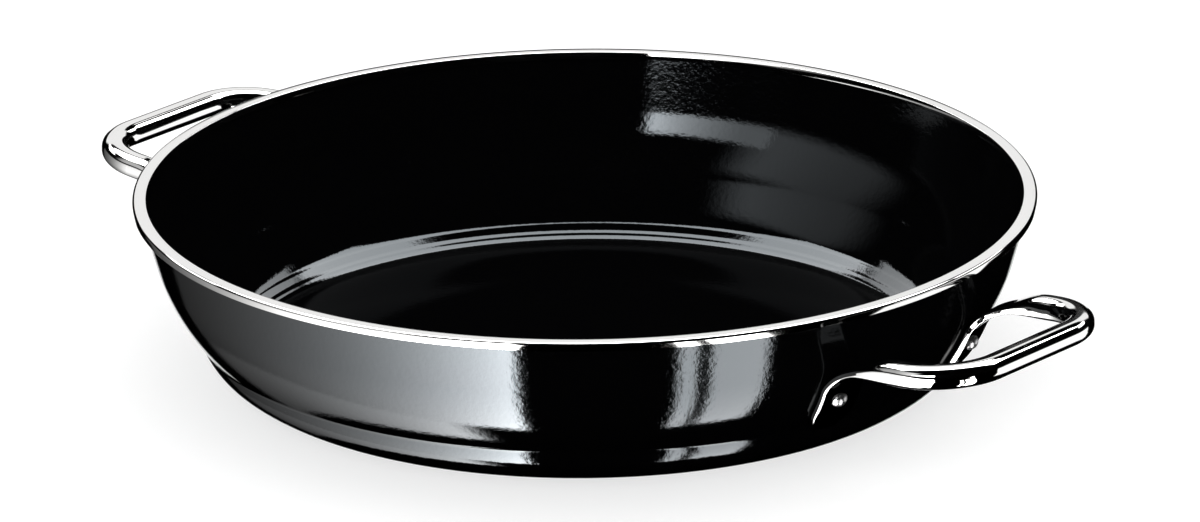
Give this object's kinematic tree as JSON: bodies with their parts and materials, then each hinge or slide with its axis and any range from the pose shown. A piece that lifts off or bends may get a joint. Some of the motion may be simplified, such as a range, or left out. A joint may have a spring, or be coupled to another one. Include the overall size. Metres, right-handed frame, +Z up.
{
  "type": "roasting and serving pan",
  "caption": "Round gloss-black enamelled roasting and serving pan with a leaning wall, a flat stainless rim band and a stainless loop handle on each side.",
  "frame": {"origin": "centre of the foot ring, at the level of the table", "axes": "+Z up; +X and -X through the middles of the handles"},
  "size_m": [0.3694, 0.29, 0.058],
  "materials": {
    "enamel": "gloss black vitreous enamel",
    "stainless": "polished"
  },
  "bodies": {
    "root": {"pan_body": "enamel", "rim_band": "stainless", "handle_left": "stainless", "handle_right": "stainless", "handle_rivets": "stainless"}
  },
  "joints": []
}
